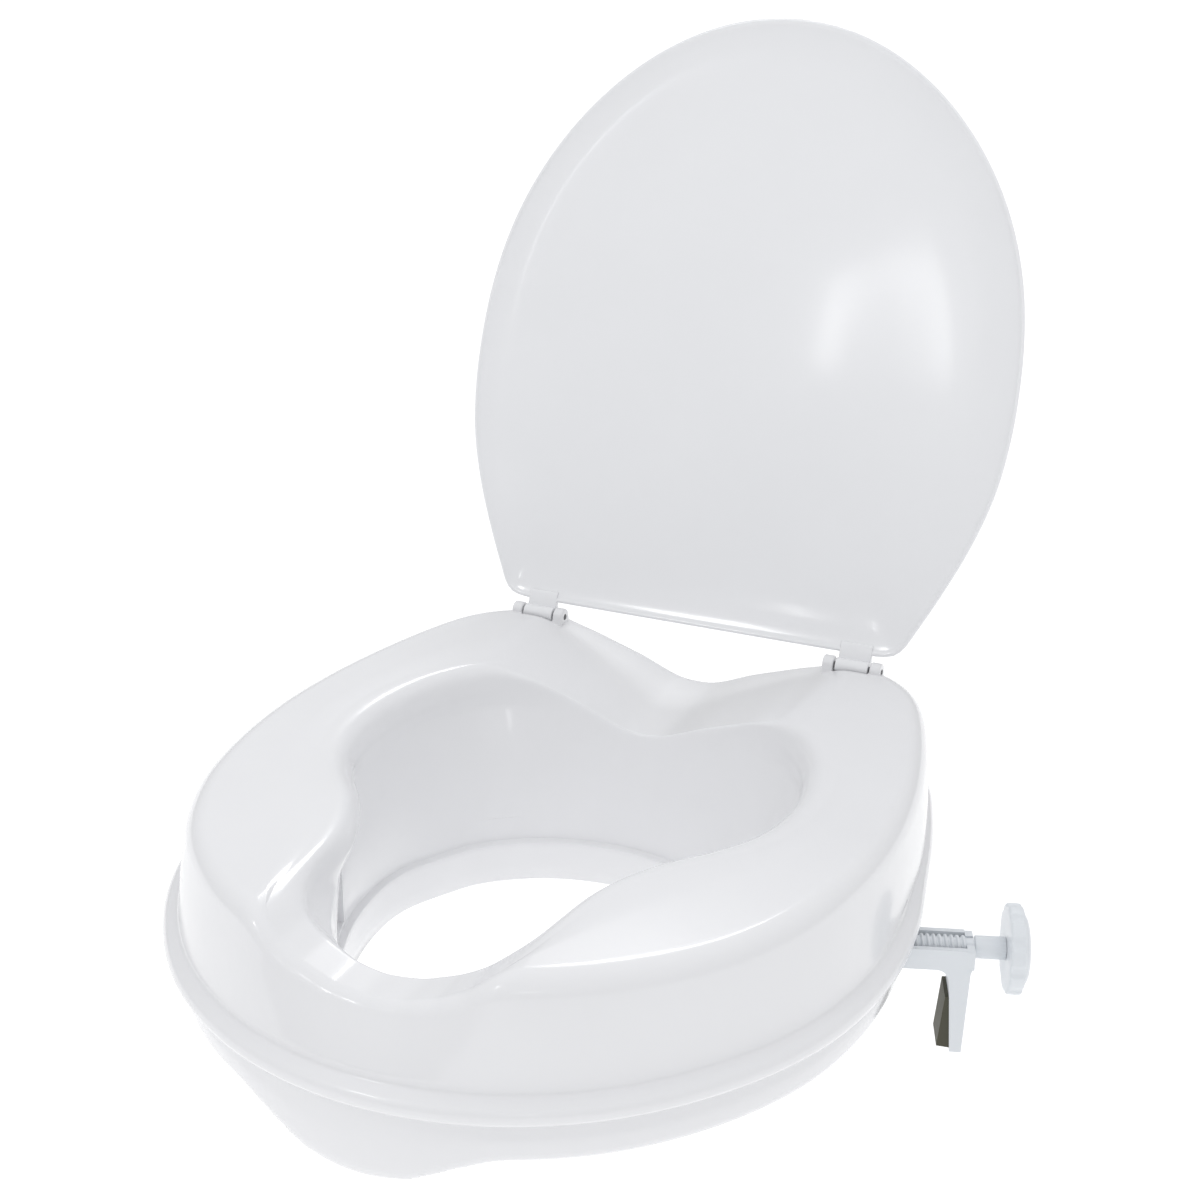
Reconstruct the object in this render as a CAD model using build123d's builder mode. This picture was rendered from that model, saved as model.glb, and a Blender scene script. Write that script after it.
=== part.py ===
from build123d import *
import math
import os

import numpy as np

# Raised toilet seat with lid and two screw clamps.
# Row frame: X across the seat, +Y towards the hinge, +Z up.
# Origin: on the mirror plane, at the height of the bowl rim that the seat rests on.

os.makedirs("parts", exist_ok=True)

# ---------------------------------------------------------------- dimensions
TOP_Z = 93.5            # highest level of the seating surface
SKIRT_Z = 9.0           # lower edge of the outer skirt
FLANGE_Z0 = 3.0         # underside of the inner support flange (pads go below it)
FLANGE_Z1 = 7.0
FLANGE_W = 26.0         # width of that flange
COLLAR_Z = -30.0        # lower edge of the collar that drops into the bowl
LEDGE_Z = -3.0          # step between the inner wall and the collar
WALL = 4.0              # nominal wall of the seat moulding
CENTRE_Y = -36.0        # centre of the aperture

HINGE_Y = 171.5         # lid hinge axis
HINGE_Z = 93.3
PIN_R = 2.0
PIN_BORE_R = 2.06
KNUCKLE_R = 4.8
EAR_R = 5.2
EAR_IN = (85.0, 92.0)   # inner ear, along X
EAR_OUT = (113.0, 120.0)
KNUCKLE_X = (92.4, 112.6)
LID_OPEN = 20.4         # lean of the open lid beyond vertical, degrees
LID_W0 = 1.0            # height of the lid's rim plane above the hinge axis when shut

CLAMP_AZ = 19.0         # the clamp's direction behind the X axis, degrees
ARM_W = 21.0
ARM_Z0, ARM_Z1 = 3.2, 15.0
ARM_S0, ARM_S1 = 134.0, 224.0   # from the aperture centre outwards
ARM_FLOOR = 2.6
ARM_SIDE = 3.0
PLATE_T = 4.0
SCREW_Z = 11.6
THREAD_R = 5.5
JOURNAL_R = 4.2
NECK_R = 5.9
SCREW_S0 = 137.0
NECK_S1 = 240.0
KNOB_R = 23.0
KNOB_T = 8.0
LEG_Z = -46.0
NUT_S = (150.0, 162.0)
STRAP_S = 172.0         # where the strap under each arm sits, from the aperture centre
RIB_AZ = (-54, -126, 62, 118)   # directions of the ribs in the hollow
PAD_T = 3.0             # thickness of the resting pads

# ---------------------------------------------------------------- outlines
# half outlines, front (x = 0) round to rear (x = 0)
TOP = [(0, -203), (28, -202), (52.6, -198.8), (76, -189), (99.6, -175), (137.6, -140), (161.8, -95.8), (173.8, -49),
       (178.6, -2.4), (175.6, 45), (170.5, 75), (163.5, 105), (152, 141), (143.5, 158), (131, 171), (114, 180),
       (88, 184.5), (48, 186.5), (0, 187)]
BEAD = [(0, -226), (57.4, -216.6), (108.3, -189.9), (148.1, -150.5), (175.6, -103.8), (188.3, -53.1), (189, -2.4),
        (180.6, 48), (175, 79), (168, 109), (157, 145), (147.5, 163), (134, 177), (116, 186), (88, 190.5),
        (48, 192.5), (0, 193)]
LEDGE = [(0, -152), (30, -147), (58, -130), (80, -105), (97, -72), (105.5, -42), (107.5, -12), (104, 5), (98, 17),
         (91, 29), (84, 40), (75, 49), (56, 62), (34, 71), (10, 75.5), (0, 76)]
RIM = [(0, -181), (25, -176), (42, -163), (55, -142), (68, -115), (86, -88), (104, -61), (113, -36), (118, -5),
       (118, 18), (115, 38), (109, 56), (96, 76), (80, 87), (60, 93), (30, 97), (0, 98)]
NOSE = [(0, -185), (28, -181), (46, -172), (56, -155), (60, -140), (62, -122), (64, -110), (71, -93), (78, -80),
        (86, -68), (100, -51), (112, -33), (119, -8), (120, 14), (117, 36), (111, 56), (98, 77), (82, 89), (61, 96),
        (31, 100), (0, 101)]
CREST = [(0, -190), (30, -190), (52, -187), (60, -170), (64, -147), (68, -125), (75, -103), (88, -80), (108, -57),
         (122, -34), (129, -8), (130, 14), (127, 36), (120, 58), (105, 82), (88, 94), (66, 102), (36, 107), (0, 110)]
LID = [(0, 377.6), (35.5, 373), (68.6, 359.9), (97.5, 340.3), (121.6, 316.4), (140.9, 289.7), (155.4, 261.2),
       (165.2, 231.6), (170.7, 201.6), (172.8, 171.5), (172.3, 141.1), (168.4, 110.2), (159.5, 79.4), (146, 47),
       (136, 26.5), (129, 13.5), (124.5, 10), (117, 8.6), (100, 8.2), (60, 8), (0, 8)]
N = 32


def ring(half, cy, n=N):
    """Closed outline as n points at equal polar angles about (0, cy), from the front round by +X."""
    pts = [np.array(p, float) for p in half] + [np.array((-p[0], p[1]), float) for p in half[-2:0:-1]]
    m = len(pts)
    dense = []
    for i in range(m):
        p0, p1, p2, p3 = pts[i - 1], pts[i], pts[(i + 1) % m], pts[(i + 2) % m]
        l1, l2, l3 = (max(np.linalg.norm(b - a), 1e-6) for a, b in ((p0, p1), (p1, p2), (p2, p3)))
        t1 = ((p1 - p0) / l1 + (p2 - p1) / l2) * l2 / 2
        t2 = ((p2 - p1) / l2 + (p3 - p2) / l3) * l2 / 2
        for u in np.linspace(0, 1, 40, endpoint=False):
            dense.append((2 * u**3 - 3 * u**2 + 1) * p1 + (u**3 - 2 * u**2 + u) * t1
                         + (-2 * u**3 + 3 * u**2) * p2 + (u**3 - u**2) * t2)
    d = np.array(dense)
    ang = np.mod(np.arctan2(d[:, 0], -(d[:, 1] - cy)), 2 * math.pi)
    r = np.hypot(d[:, 0], d[:, 1] - cy)
    o = np.argsort(ang)
    ang, r = ang[o], r[o]
    ang = np.r_[ang[-1] - 2 * math.pi, ang, ang[0] + 2 * math.pi]
    r = np.r_[r[-1], r, r[0]]
    a = np.arange(n) * 2 * math.pi / n
    rr = np.interp(a, ang, r)
    return np.c_[rr * np.sin(a), cy - rr * np.cos(a)]


def grow(points, d):
    """The closed outline moved outwards by d."""
    t = np.roll(points, -1, 0) - np.roll(points, 1, 0)
    t /= np.linalg.norm(t, axis=1)[:, None]
    nrm = np.c_[t[:, 1], -t[:, 0]]
    if ((points - points.mean(0)) * nrm).sum() < 0:
        nrm = -nrm
    return points + nrm * d


def blend(a, b, t):
    return a * (1 - t) + b * t


def outline(points, z):
    """A smooth closed sketch through the points, at height z."""
    with BuildSketch(Plane.XY.offset(z)) as sk:
        with BuildLine():
            Spline(*[(float(x), float(y)) for x, y in points], periodic=True)
        make_face()
    return sk.sketch


def outer_max(a, b, c):
    """Of two outlines about the point c, the outer one at each angle."""
    ra, rb = np.linalg.norm(a - c, axis=1), np.linalg.norm(b - c, axis=1)
    return np.where((ra > rb)[:, None], a, b)


MID = np.array((0, -2.4))
top_r = ring(TOP, MID[1])
bead_r = ring(BEAD, MID[1])
ledge_r = ring(LEDGE, CENTRE_Y)
rim_r = ring(RIM, CENTRE_Y)
nose_r = ring(NOSE, CENTRE_Y)
crest_r = ring(CREST, CENTRE_Y)
wall_top = grow(top_r, 3.5)
wall_base = outer_max(grow(bead_r, -6), wall_top, MID)

# dips in the seating surface: half profiles (x, z)
FRONT_DIP = [(0, 70.5), (18, 72), (34, 76.5), (47, 82.5), (56, 89), (68, 96)]
REAR_DIP = [(0, 60.5), (12, 61.5), (24, 66.5), (36, 72), (50, 77), (68, 83.5), (84, 88.5), (100, 96)]


def dip_profile(half, dz, wide=0.0):
    """Closed XZ profile above a dip."""
    pts = [(x + (wide if x > 0 else 0), z + dz) for x, z in half]
    full = [(-x, z) for x, z in pts[:0:-1]] + pts
    return full


def clamp_plane(side, s, z=0.0):
    """Plane at distance s from the aperture centre along a clamp's axis; local X is the clamp's sideways
    direction, local Y is up, and its normal points outwards."""
    a = math.radians(CLAMP_AZ if side > 0 else 180 - CLAMP_AZ)
    u = (math.cos(a), math.sin(a), 0)
    o = (u[0] * s, CENTRE_Y + u[1] * s, z)
    return Plane(origin=o, x_dir=(-u[1], u[0], 0), z_dir=u)


def radial_box_plane(side, z):
    """Horizontal plane at height z, local X along the clamp axis, origin at the aperture centre."""
    a = math.radians(CLAMP_AZ if side > 0 else 180 - CLAMP_AZ)
    return Plane(origin=(0, CENTRE_Y, z), x_dir=(math.cos(a), math.sin(a), 0), z_dir=(0, 0, 1))


def vertical_plane(side):
    """Vertical plane through the clamp's axis: local X is the distance from the aperture centre, local Y is height."""
    a = math.radians(CLAMP_AZ if side > 0 else 180 - CLAMP_AZ)
    return Plane(origin=(0, CENTRE_Y, 0), x_dir=(math.cos(a), math.sin(a), 0), z_dir=(math.sin(a), -math.cos(a), 0))


def leg_face(z):
    """Distance of the leg's inner face from the aperture centre at height z."""
    return 212.0 + 3.0 * (ARM_Z0 - 7.5 - z) / (ARM_Z0 - 7.5 - LEG_Z)


# ---------------------------------------------------------------- seat shell
# the hollow under the seat, with the ribs that stand in it left out
core_levels = [(6.9, grow(ledge_r, 8.5)), (68, grow(rim_r, 4.4)), (80, grow(nose_r, 5.5)), (90, grow(crest_r, 7))]
cave_levels = [(FLANGE_Z1, grow(bead_r, -10)), (47, grow(wall_base, -4.2)), (80, grow(top_r, -1.0)),
               (89, grow(top_r, -7.0))]

with BuildPart() as core:
    for z, r in core_levels:
        add(outline(r, z))
    loft(ruled=True)

with BuildPart() as cavity:
    for z, r in cave_levels:
        add(outline(r, z))
    loft(ruled=True)
    add(core.part, mode=Mode.SUBTRACT)
    # room for the dipped front and rear bridges
    with BuildSketch(Plane.XZ.offset(140)):
        with BuildLine():
            Polyline(*dip_profile(FRONT_DIP, -4.5, 6), close=True)
        make_face()
    extrude(amount=110, mode=Mode.SUBTRACT)
    with BuildSketch(Plane.XZ.offset(-50)):
        with BuildLine():
            Polyline(*dip_profile(REAR_DIP, -4.5, 5), close=True)
        make_face()
    extrude(amount=-170, mode=Mode.SUBTRACT)
    # solid stock under the hinge ears
    for sx in (-1, 1):
        with BuildSketch(Plane.XY.offset(80)):
            with Locations((sx * 102.5, HINGE_Y)):
                Rectangle(42, 26)
        extrude(amount=14, mode=Mode.SUBTRACT)
    # radial ribs
    for ang in RIB_AZ:
        a = math.radians(ang)
        with BuildSketch(Plane(origin=(0, CENTRE_Y, 6), x_dir=(math.cos(a), math.sin(a), 0), z_dir=(0, 0, 1))):
            with Locations((160, 0)):
                Rectangle(130, 3)
        extrude(amount=90, mode=Mode.SUBTRACT)
    # a pair of ribs along each clamp, and the block that holds its nut
    for side in (-1, 1):
        with BuildSketch(radial_box_plane(side, 6)):
            with Locations((150, 12.9), (150, -12.9)):
                Rectangle(110, 3.2)
        extrude(amount=90, mode=Mode.SUBTRACT)
        with BuildSketch(radial_box_plane(side, 16)):
            with Locations(((NUT_S[0] + NUT_S[1]) / 2, 0)):
                Rectangle(20, 24)
        extrude(amount=16, mode=Mode.SUBTRACT)

# aperture: flares at the seating surface, then the inner wall, the ledge and the collar
with BuildPart() as aperture:
    for z, r in [(LEDGE_Z, grow(ledge_r, 4.5)), (69, rim_r), (80, nose_r), (87.5, blend(nose_r, crest_r, 0.35)),
                 (92, crest_r), (96, grow(crest_r, 9))]:
        add(outline(r, z))
    loft(ruled=True)
    add(outline(ledge_r, COLLAR_Z - 2))
    extrude(amount=LEDGE_Z - COLLAR_Z + 4)

# collar: the stepped lower end of the inner wall, which drops into the bowl
with BuildPart() as seat_collar:
    add(outline(grow(ledge_r, 8.5), -7))
    extrude(amount=FLANGE_Z0 + 7)
    add(outline(grow(ledge_r, 4.5), COLLAR_Z))
    extrude(amount=-7 - COLLAR_Z)
    add(aperture.part, mode=Mode.SUBTRACT)
    # recesses of the front corners run down into the collar's top
    for ang in (-21, 201):
        a = math.radians(ang)
        pl = Plane(origin=(100 * math.cos(a), CENTRE_Y + 100 * math.sin(a), 0),
                   x_dir=(-math.sin(a), math.cos(a), 0), z_dir=(math.cos(a), math.sin(a), 0))
        with BuildSketch(pl):
            with Locations((0, 2)):
                Rectangle(30, 8)
        extrude(amount=11, mode=Mode.SUBTRACT)
seat_collar.part.label = "seat_collar"
export_step(seat_collar.part, "parts/seat_collar.step")

# tongue that hangs from the skirt at the front, over the bowl's front rim
with BuildPart() as tongue:
    add(outline(grow(bead_r, -5.5), -14))
    extrude(amount=26)
    add(outline(grow(bead_r, -10), -15))
    extrude(amount=28, mode=Mode.SUBTRACT)
    with BuildSketch(Plane.XZ.offset(150)):
        with BuildLine():
            half = [(0, -11), (18, -9.8), (30, -6), (42, -0.5), (54, 5), (66, 8.8), (80, 10.2)]
            l3 = Spline(*[(-x, z) for x, z in half[:0:-1]], *half)
            Polyline(l3 @ 1, (80, 13), (-80, 13), l3 @ 0)
        make_face()
    extrude(amount=100, mode=Mode.INTERSECT)

with BuildPart() as seat_shell:
    for z, r in [(SKIRT_Z, grow(bead_r, -9)), (13, grow(bead_r, -5.5)), (29, grow(bead_r, -3.5)),
                 (33, grow(bead_r, 1)), (37, grow(bead_r, 2.5)), (42, grow(bead_r, -1)), (47, wall_base),
                 (82, wall_top), (88, grow(top_r, 1.5)), (91.5, grow(top_r, -2.5)), (TOP_Z, grow(top_r, -8.5))]:
        add(outline(r, z))
    loft(ruled=True)
    add(outline(grow(ledge_r, 8.5 + FLANGE_W), FLANGE_Z0))
    extrude(amount=SKIRT_Z + 1 - FLANGE_Z0)
    # dips at front and rear
    with BuildSketch(Plane.XZ.offset(158)):
        with BuildLine():
            l1 = Spline(*[(-x, z) for x, z in FRONT_DIP[:0:-1]], *FRONT_DIP)
            Line(l1 @ 1, l1 @ 0)
        make_face()
    extrude(amount=90, mode=Mode.SUBTRACT)
    with BuildSketch(Plane.XZ.offset(-58)):
        with BuildLine():
            l2 = Spline(*[(-x, z) for x, z in REAR_DIP[:0:-1]], *REAR_DIP)
            Line(l2 @ 1, l2 @ 0)
        make_face()
    extrude(amount=-160, mode=Mode.SUBTRACT)
    add(aperture.part, mode=Mode.SUBTRACT)
    add(cavity.part, mode=Mode.SUBTRACT)
    add(tongue.part)
    for side in (-1, 1):
        # bosses and rib feet that the strap is screwed up against
        with BuildSketch(radial_box_plane(side, FLANGE_Z0)):
            with Locations((STRAP_S, 18.5), (STRAP_S, -18.5)):
                Circle(5)
            with Locations((STRAP_S - 14, 12.9), (STRAP_S - 14, -12.9)):
                Rectangle(44, 3.2)
        extrude(amount=24)
        # slot that the clamp arm slides in
        with BuildSketch(radial_box_plane(side, FLANGE_Z0 - 1)):
            with Locations((174, 0)):
                Rectangle(100, ARM_W + 1.0)
        extrude(amount=18, mode=Mode.SUBTRACT)
        # pocket of the nut
        with BuildSketch(radial_box_plane(side, 18)):
            with Locations(((NUT_S[0] + NUT_S[1]) / 2, 0)):
                Rectangle(NUT_S[1] - NUT_S[0] + 0.1, 20.1)
        extrude(amount=8, mode=Mode.SUBTRACT)
        # strap screw pilot holes in their bosses
        with BuildSketch(radial_box_plane(side, FLANGE_Z0 - 1)):
            with Locations((STRAP_S, 18.5), (STRAP_S, -18.5)):
                Circle(1.6)
        extrude(amount=20, mode=Mode.SUBTRACT)
    # hinge ears along the rear edge
    for sx in (-1, 1):
        for x0, x1 in (EAR_IN, EAR_OUT):
            with BuildSketch(Plane.YZ.offset(min(sx * x0, sx * x1))):
                with Locations((HINGE_Y, HINGE_Z)):
                    Circle(EAR_R)
                with Locations((HINGE_Y, HINGE_Z - 5)):
                    Rectangle(2 * EAR_R, 10)
            extrude(amount=x1 - x0)
        # groove for the lid's knuckle between the ears
        with BuildSketch(Plane.YZ.offset(min(sx * EAR_IN[1], sx * EAR_OUT[0]))):
            with Locations((HINGE_Y, HINGE_Z)):
                Circle(KNUCKLE_R + 1.4)
        extrude(amount=EAR_OUT[0] - EAR_IN[1], mode=Mode.SUBTRACT)
        # bore of the pin
        with BuildSketch(Plane.YZ.offset(min(sx * 84, sx * 121))):
            with Locations((HINGE_Y, HINGE_Z)):
                Circle(PIN_BORE_R)
        extrude(amount=37, mode=Mode.SUBTRACT)
    # arched recesses in the front corners of the inner wall
    for ang in (-21, 201):
        a = math.radians(ang)
        pl = Plane(origin=(100 * math.cos(a), CENTRE_Y + 100 * math.sin(a), 0),
                   x_dir=(-math.sin(a), math.cos(a), 0), z_dir=(math.cos(a), math.sin(a), 0))
        with BuildSketch(pl):
            with Locations((0, 2)):
                Rectangle(30, 44)
            with Locations((0, 24)):
                Circle(15)
        extrude(amount=11, mode=Mode.SUBTRACT)
seat_shell.part.label = "seat_shell"
export_step(seat_shell.part, "parts/seat_shell.step")

# ---------------------------------------------------------------- lid
LEAN = math.radians(LID_OPEN)
LID_S = (0, math.sin(LEAN), math.cos(LEAN))        # along the lid, away from the hinge, when open
LID_W = (0, math.cos(LEAN), -math.sin(LEAN))       # out of the lid's upper face, when open
lid_r = ring(LID, 190.0)


def shrink(points, d):
    """The lid outline drawn in towards its middle, by about d at the sides."""
    c = np.array((0.0, 190.0))
    return c + (points - c) * (1 - d / 178)


def lid_plane(w):
    return Plane(origin=(0, HINGE_Y + LID_W[1] * w, HINGE_Z + LID_W[2] * w), x_dir=(1, 0, 0),
                 z_dir=(0, -LID_W[1], -LID_W[2]))


def lid_outline(points, w):
    with BuildSketch(lid_plane(w)) as sk:
        with BuildLine():
            Spline(*[(float(x), float(y)) for x, y in points], periodic=True)
        make_face()
    return sk.sketch


with BuildPart() as lid_hollow:
    for w, d in ((LID_W0 - 1, 0.5), (2.6, 6), (5.0, 20), (7.0, 50), (7.8, 80)):
        add(lid_outline(shrink(lid_r, d), w))
    loft(ruled=True)

with BuildPart() as lid:
    for w, d in ((LID_W0, 0), (4.9, 3), (7.4, 12), (9.4, 30), (10.6, 75)):
        add(lid_outline(shrink(lid_r, d), w))
    loft(ruled=True)
    add(lid_hollow.part, mode=Mode.SUBTRACT)
    for sx in (-1, 1):
        x0 = min(sx * KNUCKLE_X[0], sx * KNUCKLE_X[1])
        # knuckle and the web that joins it to the lid's rear edge
        with BuildSketch(Plane.YZ.offset(x0)):
            with Locations((HINGE_Y, HINGE_Z)):
                Circle(KNUCKLE_R)
            with BuildLine():
                Polyline(*[(HINGE_Y + LID_S[1] * s + LID_W[1] * w, HINGE_Z + LID_S[2] * s + LID_W[2] * w)
                           for s, w in ((0, LID_W0), (11, LID_W0), (11, 4.6), (0, 4.6))], close=True)
            make_face()
        extrude(amount=KNUCKLE_X[1] - KNUCKLE_X[0])
        with BuildSketch(Plane.YZ.offset(x0 - 1)):
            with Locations((HINGE_Y, HINGE_Z)):
                Circle(PIN_BORE_R)
        extrude(amount=KNUCKLE_X[1] - KNUCKLE_X[0] + 2, mode=Mode.SUBTRACT)
lid.part.label = "lid"
export_step(lid.part, "parts/lid.step")

# ---------------------------------------------------------------- hinge pins
for side, tag in ((1, "right"), (-1, "left")):
    with BuildPart() as hinge_pin:
        with BuildSketch(Plane.YZ.offset(min(side * (EAR_IN[0] - 0.3), side * (EAR_OUT[1] + 0.3)))):
            with Locations((HINGE_Y, HINGE_Z)):
                Circle(PIN_R)
        extrude(amount=EAR_OUT[1] - EAR_IN[0] + 0.6)
        chamfer(hinge_pin.edges().filter_by(GeomType.CIRCLE), 0.4)
    hinge_pin.part.label = f"hinge_pin_{tag}"
    export_step(hinge_pin.part, f"parts/hinge_pin_{tag}.step")

# ---------------------------------------------------------------- screw clamps
for side, tag in ((1, "right"), (-1, "left")):
    # sliding arm: an open channel with an end plate and a leg that reaches down outside the bowl
    with BuildPart() as clamp_arm:
        with BuildSketch(clamp_plane(side, ARM_S0)):
            with Locations((0, (ARM_Z0 + ARM_Z1) / 2)):
                Rectangle(ARM_W, ARM_Z1 - ARM_Z0)
            with Locations((0, ARM_Z0 + ARM_FLOOR + 10)):
                Rectangle(ARM_W - 2 * ARM_SIDE, 20, mode=Mode.SUBTRACT)
        extrude(amount=ARM_S1 - PLATE_T - ARM_S0)
        with BuildSketch(clamp_plane(side, ARM_S1 - PLATE_T)):
            with Locations((0, (ARM_Z0 + ARM_Z1) / 2)):
                RectangleRounded(ARM_W, ARM_Z1 - ARM_Z0, 1.6)
            with Locations((0, SCREW_Z)):
                Circle(JOURNAL_R + 0.06, mode=Mode.SUBTRACT)
            with Locations((0, SCREW_Z + 5)):
                Rectangle(2 * (JOURNAL_R + 0.06), 10, mode=Mode.SUBTRACT)
        extrude(amount=PLATE_T)
        with BuildSketch(vertical_plane(side)):
            with BuildLine():
                Polyline((203.5, ARM_Z0 + 1), (223.2, ARM_Z0 + 1), (222.4, ARM_Z0 - 1.5), (221.0, LEG_Z), (215.0, LEG_Z),
                         (212.0, ARM_Z0 - 7.5))
                l4 = Spline((212.0, ARM_Z0 - 7.5), (210.2, ARM_Z0 - 2.6), (204.5, ARM_Z0), tangents=[(-0.07, 1), (-1, 0)])
                Line(l4 @ 1, (203.5, ARM_Z0 + 1))
            make_face()
        extrude(amount=ARM_W / 2, both=True)
    clamp_arm.part.label = f"clamp_arm_{tag}"
    export_step(clamp_arm.part, f"parts/clamp_arm_{tag}.step")

    # wedge-shaped rubber pad on the leg's inner face
    with BuildPart() as clamp_pad:
        with BuildSketch(vertical_plane(side)):
            with BuildLine():
                Polyline(*[(leg_face(-13.5), -13.5), (210.7, -13.5), (208.3, -43.4), (leg_face(-44.2), -44.2)], close=True)
            make_face()
        extrude(amount=9.5, both=True)
    clamp_pad.part.label = f"clamp_pad_{tag}"
    export_step(clamp_pad.part, f"parts/clamp_pad_{tag}.step")

    # screw: thread, journal that turns in the end plate's slot, neck, and a hexagon for the knob
    with BuildPart() as clamp_screw:
        with BuildSketch(clamp_plane(side, SCREW_S0)):
            with Locations((0, SCREW_Z)):
                Circle(THREAD_R)
        extrude(amount=ARM_S1 - PLATE_T - 0.3 - SCREW_S0)
        with BuildSketch(clamp_plane(side, ARM_S1 - PLATE_T - 0.3)):
            with Locations((0, SCREW_Z)):
                Circle(JOURNAL_R)
        extrude(amount=PLATE_T + 0.6)
        with BuildSketch(clamp_plane(side, ARM_S1 + 0.3)):
            with Locations((0, SCREW_Z)):
                Circle(NECK_R)
        extrude(amount=NECK_S1 - ARM_S1 - 0.3)
        with BuildSketch(clamp_plane(side, NECK_S1)):
            with Locations((0, SCREW_Z)):
                RegularPolygon(4.6, 6)
        extrude(amount=7)
    clamp_screw.part.label = f"clamp_screw_{tag}"
    export_step(clamp_screw.part, f"parts/clamp_screw_{tag}.step")

    # knob: scalloped rim with a shallow domed face
    with BuildPart() as clamp_knob:
        with BuildSketch(clamp_plane(side, NECK_S1)):
            with Locations((0, SCREW_Z)):
                Circle(KNOB_R)
            with Locations((0, SCREW_Z)):
                with PolarLocations(KNOB_R + 3.2, 10):
                    Circle(4.4, mode=Mode.SUBTRACT)
        extrude(amount=KNOB_T)
        with BuildSketch(clamp_plane(side, NECK_S1 + KNOB_T)):
            with Locations((0, SCREW_Z)):
                Circle(19.0)
        extrude(amount=1.6)
        with BuildSketch(clamp_plane(side, NECK_S1 + KNOB_T + 1.6)):
            with Locations((0, SCREW_Z)):
                Circle(15.0)
        extrude(amount=1.4)
        with BuildSketch(clamp_plane(side, NECK_S1 + KNOB_T + 3.0)):
            with Locations((0, SCREW_Z)):
                Circle(9.0)
        extrude(amount=0.8)
        with BuildSketch(clamp_plane(side, NECK_S1)):
            with Locations((0, SCREW_Z)):
                RegularPolygon(4.65, 6)
        extrude(amount=7.2, mode=Mode.SUBTRACT)
    clamp_knob.part.label = f"clamp_knob_{tag}"
    export_step(clamp_knob.part, f"parts/clamp_knob_{tag}.step")

    # nut: a T-shaped block whose flange sits in the shell and whose stem hangs into the arm's channel
    nut_mid = (NUT_S[0] + NUT_S[1]) / 2
    with BuildPart() as clamp_nut:
        with BuildSketch(radial_box_plane(side, ARM_Z1 + 1)):
            with Locations((nut_mid, 0)):
                Rectangle(NUT_S[1] - NUT_S[0], 20)
        extrude(amount=25.9 - ARM_Z1 - 1)
        with BuildSketch(radial_box_plane(side, ARM_Z1 + 1)):
            with Locations((nut_mid, 0)):
                Rectangle(NUT_S[1] - NUT_S[0], 14.2)
        extrude(amount=-(ARM_Z1 + 1 - (ARM_Z0 + ARM_FLOOR) - 0.4))
        with BuildSketch(clamp_plane(side, NUT_S[0] - 1)):
            with Locations((0, SCREW_Z)):
                Circle(THREAD_R + 0.06)
        extrude(amount=NUT_S[1] - NUT_S[0] + 2, mode=Mode.SUBTRACT)
    clamp_nut.part.label = f"clamp_nut_{tag}"
    export_step(clamp_nut.part, f"parts/clamp_nut_{tag}.step")

    # strap that carries the arm from below
    with BuildPart() as guide_strap:
        with BuildSketch(radial_box_plane(side, 0.6)):
            with Locations((STRAP_S, 0)):
                RectangleRounded(16, 48, 3)
        extrude(amount=FLANGE_Z0 - 0.6)
        with BuildSketch(radial_box_plane(side, 0)):
            with Locations((STRAP_S, 18.5), (STRAP_S, -18.5)):
                Circle(1.9)
        extrude(amount=4, mode=Mode.SUBTRACT)
        with BuildSketch(radial_box_plane(side, 0)):
            with Locations((STRAP_S, 18.5), (STRAP_S, -18.5)):
                Circle(3.7)
        extrude(amount=2.0, mode=Mode.SUBTRACT)
    guide_strap.part.label = f"guide_strap_{tag}"
    export_step(guide_strap.part, f"parts/guide_strap_{tag}.step")

    # the strap's two screws
    with BuildPart() as strap_screws:
        with BuildSketch(radial_box_plane(side, 0.7)):
            with Locations((STRAP_S, 18.5), (STRAP_S, -18.5)):
                Circle(3.4)
                RegularPolygon(1.5, 6, mode=Mode.SUBTRACT)
        extrude(amount=0.8)
        with BuildSketch(radial_box_plane(side, 1.5)):
            with Locations((STRAP_S, 18.5), (STRAP_S, -18.5)):
                Circle(3.4)
        extrude(amount=0.5)
        with BuildSketch(radial_box_plane(side, 2.0)):
            with Locations((STRAP_S, 18.5), (STRAP_S, -18.5)):
                Circle(1.54)
        extrude(amount=14)
    strap_screws.part.label = f"strap_screws_{tag}"
    export_step(strap_screws.part, f"parts/strap_screws_{tag}.step")

# ---------------------------------------------------------------- resting pads
for ang, name in ((-60, "front_right"), (-120, "front_left"), (60, "rear_right"), (120, "rear_left")):
    a = math.radians(ang)
    # distance from the aperture centre to the middle of the support flange in this direction
    k = int(round((math.degrees(math.atan2(math.cos(a), -math.sin(a))) % 360) / (360 / N))) % N
    dist = float(np.linalg.norm(ledge_r[k] - np.array((0, CENTRE_Y)))) + 8.5 + FLANGE_W / 2
    with BuildPart() as rest_pad:
        with BuildSketch(Plane(origin=(0, CENTRE_Y, 0), x_dir=(math.cos(a), math.sin(a), 0), z_dir=(0, 0, 1))):
            with Locations((dist, 0)):
                RectangleRounded(15, 42, 5)
        extrude(amount=PAD_T)
    rest_pad.part.label = f"rest_pad_{name}"
    export_step(rest_pad.part, f"parts/rest_pad_{name}.step")
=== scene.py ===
import math

import bpy
import numpy as np
from mathutils import Matrix, Vector


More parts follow.
